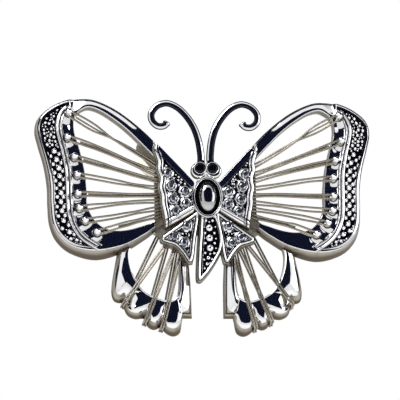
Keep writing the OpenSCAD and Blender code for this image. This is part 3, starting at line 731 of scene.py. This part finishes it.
# The forewing's lower edge, under which the hindwing is low.
LAP_LINE = np.array([[3, -3.6], [11.2, -7.6], [13.8, -9.5], [18.4, -12.3], [24.5, -14.1]])
# Above this line the hindwing is low, to lie under the inner wing.
HUB_LINE = np.array([[4.4, -15.8], [5.5, -14.3], [6.5, -13], [7.6, -12.1], [11.6, -11.2]])


def hindwing_relief(x, y):
    """Front of a hindwing: lobes that swell between their valleys, a ridged inner strip and a fine bead round
    the opening, with painted shade in the grooves beside the bead and along the strip. The columns of the
    grid are the stations, so they say which lobe a point belongs to."""
    rim, opening = distance(x, y, HIND_OUTLINE, True), distance(x, y, HIND_OPENING, True)
    station = np.arange(x.shape[-1]) / HIND_STEPS
    number = np.clip(np.searchsorted(VALLEYS, station, side="right") - 1, 0, len(VALLEYS) - 2)
    share = np.clip((station - VALLEYS[number]) / np.diff(VALLEYS)[number], 0, 1)
    swell = np.where(station < VALLEYS[-1], np.sin(math.pi * share) ** 0.7, 0)
    strip = smooth(STRIP - 1, STRIP, station) * smooth(29, 27, station)
    under = smooth(-0.12, 0.06, y - np.interp(x, *LAP_LINE.T) + 0.15)
    hub_edge = np.interp(x, *HUB_LINE.T)
    hub = smooth(hub_edge, hub_edge + 0.15, y) * smooth(HUB_X, HUB_X - 0.15, x) * (1 - under)

    h = HINDWING_TOP - shoulder(rim, 0.7, 0.4) * (1 - strip)
    h += (swell * 0.55 - 0.3) * smooth(0.2, 2.6, opening) * smooth(0, 1.2, rim) * (1 - strip)
    h -= strip * 0.21 * np.maximum(np.abs(opening - rim + 1.0), 0.32)
    h -= 0.36 * smooth(9.6, 7.6, station) * np.clip(0.55 * opening - 0.45 * rim, 0, None)
    h += wedge(opening, 0.2, 0.2, 0.08)
    h += (WING_BACK + TONGUE - h) * under
    h += (ROOT_TOP - h) * hub
    # Painted shade in the groove beside the bead and along the strip's edges, none where the forewing laps
    # it.
    grooves = bead(opening, 0.5, 0.12, 0.35) + strip * (bead(opening, 1.0, 0.15) + bead(rim, 0.12, 0.2))
    return h, grooves * (1 - under)


def hindwing(side):
    """The hindwing's casting."""
    made = casting(HIND_OUTLINE, HIND_FOOT, HIND_OPENING, WING_BACK - APART, hindwing_relief, 90, True)
    sided(side, "hindwing_casting", [made], SILVER, "polished_silver", "hindwing")


# The notches that hold the wires, where each wire leaves the hub, the share of its way at the opening's edge,
# and how far aside it comes back behind the lobe.
NOTCHES = np.array([[18.85, -24.4], [14.1, -28.3], [10.45, -29.7]])
NOTCH_HUBS = np.array([[7.4, -8.6], [6.2, -9.4], [5, -9.8]])
NOTCH_EDGES = [0.65, 0.68, 0.68]
BACK_SHIFTS = [[2.6, 1.6], [1.9, 0.6], [1.3, 0]]


def hindwing_wires(side):
    """Two strands run side by side from the hub to each notch, round its edge and back behind the lobe."""
    low, under = ROOT_TOP + WIRE_R + 0.03, WING_BACK - WIRE_R - 0.03
    over = HINDWING_TOP + WIRE_R + 0.06
    rise = [low, over - 0.05, over - 0.1, over - 0.5, (over + under) / 2 - 0.3, under + 0.05, under, under]
    stacks = []
    for notch, hub, edge, shift in zip(NOTCHES, NOTCH_HUBS, NOTCH_EDGES, BACK_SHIFTS):
        out = (notch - hub) / np.linalg.norm(notch - hub)
        way = np.array([out[1], -out[0]])
        for s in (-1, 1):
            a, b = hub + way * s * 0.28, notch + way * s * 0.27
            turn = [b + out * k for k in (-0.9, -0.1, 0.1, -0.1, -1.2)]
            plan = [a, a + (b - a) * edge, *turn, hub + shift + way * s * 0.3]
            path = curve(np.column_stack([plan, rise]), 6, (0, 1, 7))
            # Painted shade on the strands' sides.
            stacks.append(tube(path, WIRE_R * 1.12, (*way, 0), black=0.3))
    sided(side, "hindwing_strands", stacks, WIRE, "wire_silver", "hindwing_wires")


# ---- centre ornament

UPPER_STONES = np.array([[8.8, 5], [8, 2.2], [4.9, 0.9], [7.6, -0.8], [4.7, -1.9], [7.1, -3.7]])
LOWER_STONES = np.array([[4.7, -6.9], [7.4, -9.5], [5.4, -10.8]])
STONE_R = 0.9
# Outline of each inner wing and of the tail, clockwise, and which of its points are corners.
UPPER_INNER = [
    [2.9, 3.2], [5.4, 5.95], [7.9, 8.65], [9.8, 10.7], [11.35, 12.25], [11.75, 10.9], [11.35, 9.3],
    [10.95, 7.7], [11, 5.9], [10.45, 4], [10.75, 1.9], [10.3, -0.1], [10.25, -2], [9.8, -4.3], [9.4, -7.4],
    [6.25, -5.6], [3.05, -3.7], [2.5, 0.4]]
UPPER_CORNERS = (0, 4, 14, 16)
LOWER_INNER = [
    [2, -3.3], [6, -6.3], [10.3, -9.4], [10.3, -10.5], [8.9, -11.05], [7.5, -11.5], [6.5, -12.4],
    [5.5, -13.7], [4.5, -15.4], [3.6, -15.3], [3.15, -13.2], [2.75, -10], [2, -5.6]]
LOWER_CORNERS = (0, 2, 8, 9)
TAIL = [
    [-1.5, -4.5], [0.6, -4.3], [2.2, -4.6], [3.1, -7.6], [3.25, -10.6], [2.5, -13.4], [0.5, -16.8],
    [-1.3, -19], [-2.1, -19.5], [-2.5, -18.6], [-2.25, -13.5], [-1.85, -9]]
TAIL_CORNERS = (0, 2)
# How deep the fields of the inner wings and of the tail are sunk.
FIELD = 0.28
TAIL_FIELD = 0.42


def upper_edge(first, last):
    """The stretch of the upper inner wing's outline between two of its points."""
    return curve(UPPER_INNER, 8, UPPER_CORNERS, True)[first * 8:last * 8 + 1]


def seat(stone, field):
    """Height round a stone: a bright collar that slopes from its edge into the field, and its seat."""
    return (FIELD - 0.02) * np.clip((1.5 - stone) / 0.53, 0, 1) * field - 0.3 * smooth(0.97, 0.9, stone)


def patches(x, y):
    """Where a field is blackened: where two crossed waves are high."""
    return smooth(-0.35, 0.1, np.sin(3.1 * x + 1.7 * y + 0.6) * np.sin(2.3 * y - 1.9 * x + 1.1))


def upper_inner_relief(x, y):
    """Upper inner wing: a smooth dark strip on the leading edge, a wide and a thin rail on the wavy edge, a
    broad bar at the foot, and a lowered field with a collar round each stone."""
    lead, wavy, foot = [distance(x, y, upper_edge(*ends)) for ends in ((0, 4), (4, 14), (14, 16))]
    stone = nearest(x, y, UPPER_STONES)
    inland = smooth(0.75, 0.95, lead)
    field = smooth(1.35, 1.5, lead) * smooth(1.28, 1.38, wavy) * smooth(1.4, 1.5, foot)
    h = PLATE_TOP - shoulder(lead, 0.12, 0.1) - FIELD * field - 0.9 * np.clip(0.5 - foot, 0, None)
    h += wedge(wavy, 0.4, 0.28, 0.13) - bead(wavy, 0.84, 0.16, 0.2) + wedge(wavy, 1.12, 0.17, 0.08) * inland
    h += wedge(foot, 0.95, 0.34, 0.15) - bead(foot, 1.45, 0.14, 0.15) + seat(stone, field)
    # Painted shade in the grooves beside the wavy rail and the foot bar, along the edges of the rails and the
    # field, and in a ring round each stone.
    dark = bead(wavy, 0.84, 0.18) + bead(wavy, 1.36, 0.12) * inland + bead(wavy, 0.04, 0.11)
    dark += bead(foot, 1.45, 0.15) + bead(foot, 0.52, 0.1) + bead(lead, 1.45, 0.14) + bead(stone, 0.98, 0.1)
    # The field is also blackened in patches, and dark all over above y 6.6.
    top = smooth(6.0, 6.6, y) * smooth(1.1, 1.25, stone)
    dark += field * np.maximum(patches(x, y) * smooth(1.12, 1.25, stone), top)
    return h, np.clip(dark, 0, 1)


def lower_inner_relief(x, y):
    """Lower inner wing: a wide and a thin rail all round, and a lowered field with the stones' collars."""
    rim = distance(x, y, curve(LOWER_INNER, 8, LOWER_CORNERS, True), True)
    stone = nearest(x, y, LOWER_STONES)
    field = smooth(1.02, 1.12, rim)
    h = PLATE_TOP - FIELD * field + seat(stone, field)
    h += wedge(rim, 0.4, 0.21, 0.1) - bead(rim, 0.76, 0.16, 0.15) + wedge(rim, 0.99, 0.11, 0.055)
    # Painted shade in the groove beside the rail, along the field's edge and the outer edge, and in a ring
    # round each stone.
    dark = bead(rim, 0.76, 0.18) + bead(rim, 1.14, 0.09) + bead(rim, 0.06, 0.17) + bead(stone, 0.98, 0.1)
    # The field is also blackened in patches, and dark all over towards the bottom.
    dark += field * np.maximum(patches(x, y) * smooth(1.12, 1.25, stone), smooth(-12.0, -12.8, y))
    return h, np.clip(dark, 0, 1)


def tail_relief(x, y):
    """Leaf-shaped tail: a rounded rim, a thin inner rail on its left, and a lowered dark middle."""
    outline = curve(TAIL, 8, TAIL_CORNERS, True)
    rim = distance(x, y, outline, True)
    inner = wedge(distance(x, y, outline[8 * 8:]), 1.05, 0.16, 0.3) * smooth(0.6, 0.8, rim)
    field = smooth(0.6, 0.72, rim)
    h = PLATE_TOP - TAIL_FIELD * field + wedge(rim, 0.37, 0.21, 0.105) + inner
    # The lowered middle is blackened except under the inner rail, and painted shade runs along the outer
    # edge.
    return h, np.clip(field - 3.4 * inner + bead(rim, 0.06, 0.16), 0, 1)


def grown(points, corners, by, steps):
    """A clockwise outline, and the same outline moved outwards by a distance."""
    line = curve(points, steps, corners, True)
    tangent = np.roll(line, -1, 0) - np.roll(line, 1, 0)
    normal = np.column_stack([-tangent[:, 1], tangent[:, 0]])
    return line, line + normal * by / np.maximum(np.linalg.norm(normal, axis=1, keepdims=True), 1e-6)


def field_grains(points, corners, stones, clear, count, seed, size):
    """Small grains strewn over a field, clear of its rim, its stones and each other."""
    random = np.random.default_rng(seed)
    outline = curve(points, 8, corners, True)
    tries = random.uniform(outline.min(0), outline.max(0), (count * 40, 2))
    radii = random.uniform(*size, len(tries))
    x, y = tries.T
    good = within(x, y, outline) & (distance(x, y, outline, True) > clear)
    good &= nearest(x, y, stones) > 1.5 + radii
    return domes(apart(tries[good], radii[good], count, -0.04), PLATE_TOP - FIELD, 1.1, 8)


def prongs(stones):
    """Four small grains that hold each stone."""
    turn = np.radians([45, 135, 225, 315]) + 0.3
    ring = 1.02 * np.column_stack([np.cos(turn), np.sin(turn)])
    places = (stones[:, None] + ring).reshape(-1, 2)
    return domes(np.insert(places, 2, 0.22, axis=1), PLATE_TOP, 1.0, 8)


def inner_wing(side):
    """The upper and the lower inner wing of one side, with their grains and the stones' prongs."""
    upper, upper_foot = grown(UPPER_INNER, UPPER_CORNERS, 0.25, 16)
    lower, lower_foot = grown(LOWER_INNER, LOWER_CORNERS, 0.25, 18)
    return solid(f"{NAME[side]}_inner_wings", [
        casting(upper, upper_foot, [7.2, 2.6], PLATE_BACK + 3 * APART, upper_inner_relief, 84, False),
        casting(lower, lower_foot, [5.4, -9.2], PLATE_BACK + 2 * APART, lower_inner_relief, 64, False),
        field_grains(UPPER_INNER, UPPER_CORNERS, UPPER_STONES, 1.6, 30, 21 + side, (0.2, 0.32)),
        field_grains(LOWER_INNER, LOWER_CORNERS, LOWER_STONES, 1.2, 14, 31 + side, (0.15, 0.26)),
        prongs(UPPER_STONES), prongs(LOWER_STONES)], side)


# Place and radius of each of the tail's grains.
LARGE_GRAINS = np.array([
    [0.4, -7.4, 0.86], [0.4, -9.7, 0.86], [0.42, -12, 0.82], [0, -14.2, 0.46], [-0.3, -15.6, 0.4]])
SMALL_GRAINS = np.array([
    [-0.35, -5.7, 0.34], [1.15, -5.7, 0.34], [0.4, -6, 0.24], [-0.65, -8.55, 0.34], [1.5, -8.55, 0.34],
    [-0.62, -10.85, 0.34], [1.5, -10.85, 0.34], [-0.7, -13.1, 0.32], [1.35, -13.15, 0.34], [0.4, -13.3, 0.26],
    [0.85, -14.5, 0.3], [-0.95, -14.6, 0.28], [0.4, -15.4, 0.26], [-0.9, -16.6, 0.26], [-0.1, -16.6, 0.28],
    [1.75, -7.1, 0.22], [1.8, -9.8, 0.22], [1.75, -12, 0.22], [-0.75, -7.2, 0.2], [-0.75, -9.7, 0.2]])


def tail():
    """The tail's casting with its grains."""
    outline, foot = grown(TAIL, TAIL_CORNERS, 0.3, 18)
    floor = PLATE_TOP - TAIL_FIELD
    return solid("leaf_tail", [
        casting(outline, foot, [0.2, -9.5], PLATE_BACK + APART, tail_relief, 80, False),
        domes(SMALL_GRAINS, floor, 1.0, 12), domes(LARGE_GRAINS, floor, 0.8, 20, round_top=True)])


def bezel():
    """A thick outer ring and a thin inner one, with a wide blackened trench between them and the cabochon: a
    profile of (distance out, height, dark mark) carried round an oval."""
    top = BEZEL_TOP
    back_and_side = [(0, PLATE_BACK, 0), (1.3, PLATE_BACK, 0), (1.3, top - 0.55, 0)]
    # The outer ring's outer side and inner slope and the thin ring's feet carry painted shade; the trench is
    # blackened.
    outer = [(1.3, top - 0.3, 0.6), (1.16, top - 0.08, 0), (1.08, top, 0), (0.92, top - 0.1, 0.5),
             (0.86, top - 0.55, 1)]
    inner = [(*p, k == 0 or k == 8) for k, p in enumerate(arc(0.7, top - 0.36, 0.1, 0.16, 180, 9))]
    trench = [(0.56, top - 0.8, 1), (0, top - 0.9, 1), (-0.3, top - 0.9, 1)]
    out, height, dark = np.array(back_and_side + outer + inner + trench, float).T
    profile = np.column_stack([2.2 + out, 3.5 + out, height])
    return turned(BEZEL, profile, 96, looped=True, dark=dark[:, None])


def head():
    """Two domed lobes, a ring round each eye with painted shade on both its sides, and the antennae's neck.
    """
    base, top = PLATE_BACK + 4 * APART, PLATE_TOP
    lobe = [(0, base), (1.75, base), (1.85, base + 0.5), *arc(1.3, top - 0.6, 0.55, 0.6, 80, 8), (0, top)]
    ring = [(0, top - 0.5), (1.62, top - 0.5), (1.54, top + 0.02), *arc(1.34, top + 0.08, 0.1, 0.16, 180, 7),
            (1.22, top - 0.1), (0, top - 0.1)]
    # Painted shade on the ring's outer side and on its inner side down to the eye's seat.
    dark = np.array([0, 0, 1, 1] + [0] * 5 + [1, 1, 1])[:, None]
    neck = [(0, base + 0.1), (0.85, base + 0.1), (0.9, base + 0.9), (0.75, top - 0.3), (0, top - 0.2)]
    return [turned(LOBES, lobe, 40), turned(EYES, ring, 40, dark=dark), turned(NECKS, neck, 20)]


def ornament_body():
    """Bezel, head and tail as one silver casting with the left and right inner wings."""
    fit(solid("bezel_and_head", [bezel()] + head(), crease=35), SILVER)
    fit(tail(), SILVER)
    fit(inner_wing(LEFT), SILVER)
    fit(inner_wing(RIGHT), SILVER, ["centre_ornament"])


def cabochon():
    """Oval dome on a skirt: x = a w cos u, y = b w sin u, height = base + c sin v, w = (cos v)^0.72."""
    low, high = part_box("cabochon")
    a, b = (high.x - low.x) / 2 / MM, (high.z - low.z) / 2 / MM
    base = back("cabochon") + 0.5
    v = np.radians(np.linspace(0, 90, 24))
    wide = np.concatenate([[0, 1], np.cos(v) ** 0.72])
    h = np.concatenate([[base - 0.5] * 2, base + (DOME_TOP - base) * np.sin(v)])
    # Painted shade on the dome's lower part, fading out by 0.62 of its height, and under its skirt.
    dark = np.concatenate([[1, 1], smooth(0.62, 0.3, np.sin(v)) * 0.9])[:, None]
    made = turned(BEZEL, np.column_stack([a * wide, b * wide, h]), 72, dark=dark)
    fit(solid("oval_cabochon", [made]), DOME, ["cabochon"])


def eye_stones(side):
    """A polished black stone: a low table with a rounded edge."""
    base = PLATE_TOP - 0.25
    profile = [(0, base), (EYE_R, base), (EYE_R, base + 0.35), (1.12, base + 0.5), (0.98, base + 0.58),
               (0.5, base + 0.64), (0, base + 0.66)]
    sided(side, "eye_bead", [turned(EYES[1:], profile, 32)], JET, "jet", "eye_stone")


def stones(side, name, places):
    """Cut stones: an eight-sided table, a crown of facets down to the girdle, and a short foot. The crown is
    turned by half a facet, and each stone further than the last."""
    profile = [(0, 0.4), (0.5, 0.4), (0.72, 0.24), (STONE_R, 0.05), (STONE_R, -0.05), (0, -0.15)]
    twist = np.array([0, 0, math.pi / 8, 0, 0, 0])[:, None] + 0.37 * np.arange(len(places))[:, None, None]
    made = turned(places, [(r, PLATE_TOP + z) for r, z in profile], 8, twist)
    sided(side, f"{name}_crystals", [made], GLASS, "crystal", f"{name}_stones", flat=True)


ANTENNA = [
    [1.05, 7.9], [1.05, 9.6], [1.5, 12.9], [2.5, 16], [4.1, 18.6], [6.1, 20.6], [8.4, 21.55], [10.6, 20.9],
    [11.95, 19.2], [11.85, 17.4], [10.6, 16.2], [9.1, 16.3], [8.4, 17.3]]


def antenna(side):
    """A flattened rod that tapers along a curl and ends in a knob. Its sides carry painted shade."""
    height = (PLATE_BACK + PLATE_TOP) / 2
    path = curve(np.column_stack([ANTENNA, np.full(len(ANTENNA), height)]), 10)
    share = np.linspace(0, 1, len(path))
    knob = smooth(0.93, 0.985, share) * np.sqrt(np.clip((1 - share) / 0.03, 0, 1))
    end = np.where(share > 0.97, np.sqrt(np.clip((1.004 - share) / 0.034, 0, 1)), 1)
    radius = (0.86 - 0.12 * share + 0.22 * knob) * end
    # The rod's sides get full painted shade, wider on one side.
    made = tube(path, radius, (0, 0, 1), 32, 0.45, 1.0, 0.12)
    sided(side, "antenna_rod", [made], SILVER, "polished_silver", "antenna")


# ---- clip

def carried_over():
    """CAD nodes whose shape is right take their finish here."""
    for names, material in ((("clip_upper_arm", "clip_lower_arm", "hinge_pin"), SHEET),
                            (("hub_plate", "solder_pads"), FROSTED)):
        for name in names:
            slots = frame["nodes"][name].data.materials
            slots.clear()
            slots.append(material)


def spring():
    """Torsion spring: a helix round the pin, p = c + r (cos a, sin a) + pitch a / 360 along the pin, with a
    straight leg on each tab. The lower leg follows the lower arm."""
    joint = frame["joints"][0]
    centre, pin = np.array(joint["pos_m"]) / MM, np.array(joint["axis"])
    toward_hair = np.array([0, 1.0, 0])
    nose = np.cross(pin, toward_hair)
    wire, mean, turns, pitch, leg, flare = 0.33, 1.09, 3, 0.7, 7.4, math.radians(29.07)
    a = np.radians(np.arange(0, 360 * turns - 180 + 15, 15.0))[:, None]
    slide = np.linspace(-1, 1, len(a))[:, None] * (turns - 1) / 2 * pitch
    coil = centre + mean * (np.sin(a) * nose - np.cos(a) * toward_hair) + slide * pin
    reach = np.linspace(0.4, leg, 8)[:, None]
    last = coil[-1] + (toward_hair * math.sin(flare) - nose * math.cos(flare)) * reach
    world = even(np.vstack([coil[0] - nose * reach[::-1], coil, last]), 0.28)
    path = np.column_stack([world[:, 0], world[:, 2], -world[:, 1]])
    made = solid("torsion_spring", [tube(path, wire, (pin[0], pin[2], -pin[1]))])
    fit(made, SHEET, ["clip_spring"], body=None)
    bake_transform(made)


# ---- studio

def studio():
    """A white ring of light round a dark screen that the camera looks through, with darkness behind the
    ornament and a floor far below. Only reflections see the room; everything else sees plain white."""
    world = bpy.data.worlds.new("studio")
    bpy.context.scene.world = world
    world.use_nodes = True
    shop = Shop(world.node_tree)
    way = shop.node("TexCoord")
    x, y, z = [shop.node("SeparateXYZ", {"Vector": way}, k) for k in range(3)]
    wide, tall = (x - 0.05) / 0.52, (z - 0.26) / 0.41
    wide, tall = wide * wide, tall * tall
    screen = shop.step(1.06, 0.94, wide * wide + tall * tall)
    stand = shop.step(0.15, 0.11, (x - 0.04).math("ABSOLUTE", 0))
    stand = stand * shop.step(-0.82, -0.74, z) * shop.step(0, -0.05, z)
    screen = screen.math("MAXIMUM", stand) * shop.step(0.05, -0.1, y)
    ring = shop.mix(shop.step(0.86, 0.97, z), WHITE, (0.4, 0.41, 0.44, 1))
    ring = shop.mix(shop.step(-0.5, -0.85, z), ring, (0.4, 0.4, 0.39, 1))
    room = shop.mix(screen, ring, (0.005, 0.007, 0.02, 1))
    behind = shop.mix(shop.step(-0.2, -0.6, z), (0.02, 0.02, 0.03, 1), (0.36, 0.35, 0.32, 1))
    behind = shop.mix(shop.step(0.45, 0.75, y), behind, (0.8, 0.8, 0.8, 1))
    room = shop.mix(shop.step(-0.5, -0.36, y), room, behind)
    glossy = shop.node("LightPath", output=3)
    colour = shop.mix(glossy, WHITE, room)
    surface = shop.node("Background", {"Color": colour, "Strength": 1.0})
    shop.node("OutputWorld", {"Surface": surface})

    floor_z, reach = -0.26, 3.0
    mesh = bpy.data.meshes.new("floor")
    corners = [(x * reach, y * reach, floor_z) for x, y in ((-1, -1), (1, -1), (1, 1), (-1, 1))]
    mesh.from_pydata(corners, [], [(0, 1, 2, 3)])
    floor = placed("floor", mesh)
    mesh.materials.append(shaded("floor", Base_Color=(0.9, 0.9, 0.9, 1), Roughness=0.8)[0])

    for name, place, power in (("key", (-0.25, -0.35, 0.45), 1.6), ("fill", (0.5, -0.3, 0.1), 0.6)):
        data = bpy.data.lights.new(name, "AREA")
        data.size = 0.3
        data.energy = power
        turn = Vector(place).to_track_quat("Z", "Y")
        placed(name, data).matrix_world = Matrix.LocRotScale(Vector(place), turn, None)


# ---- assembly

for side in (LEFT, RIGHT):
    for make in (forewing, band_grains, wire_pegs, forewing_wires, hindwing, hindwing_wires, eye_stones):
        make(side)
    stones(side, "upper", UPPER_STONES)
    stones(side, "lower", LOWER_STONES)
    antenna(side)
ornament_body()
cabochon()
carried_over()
spring()
studio()
bpy.context.scene.view_settings.view_transform = "Standard"
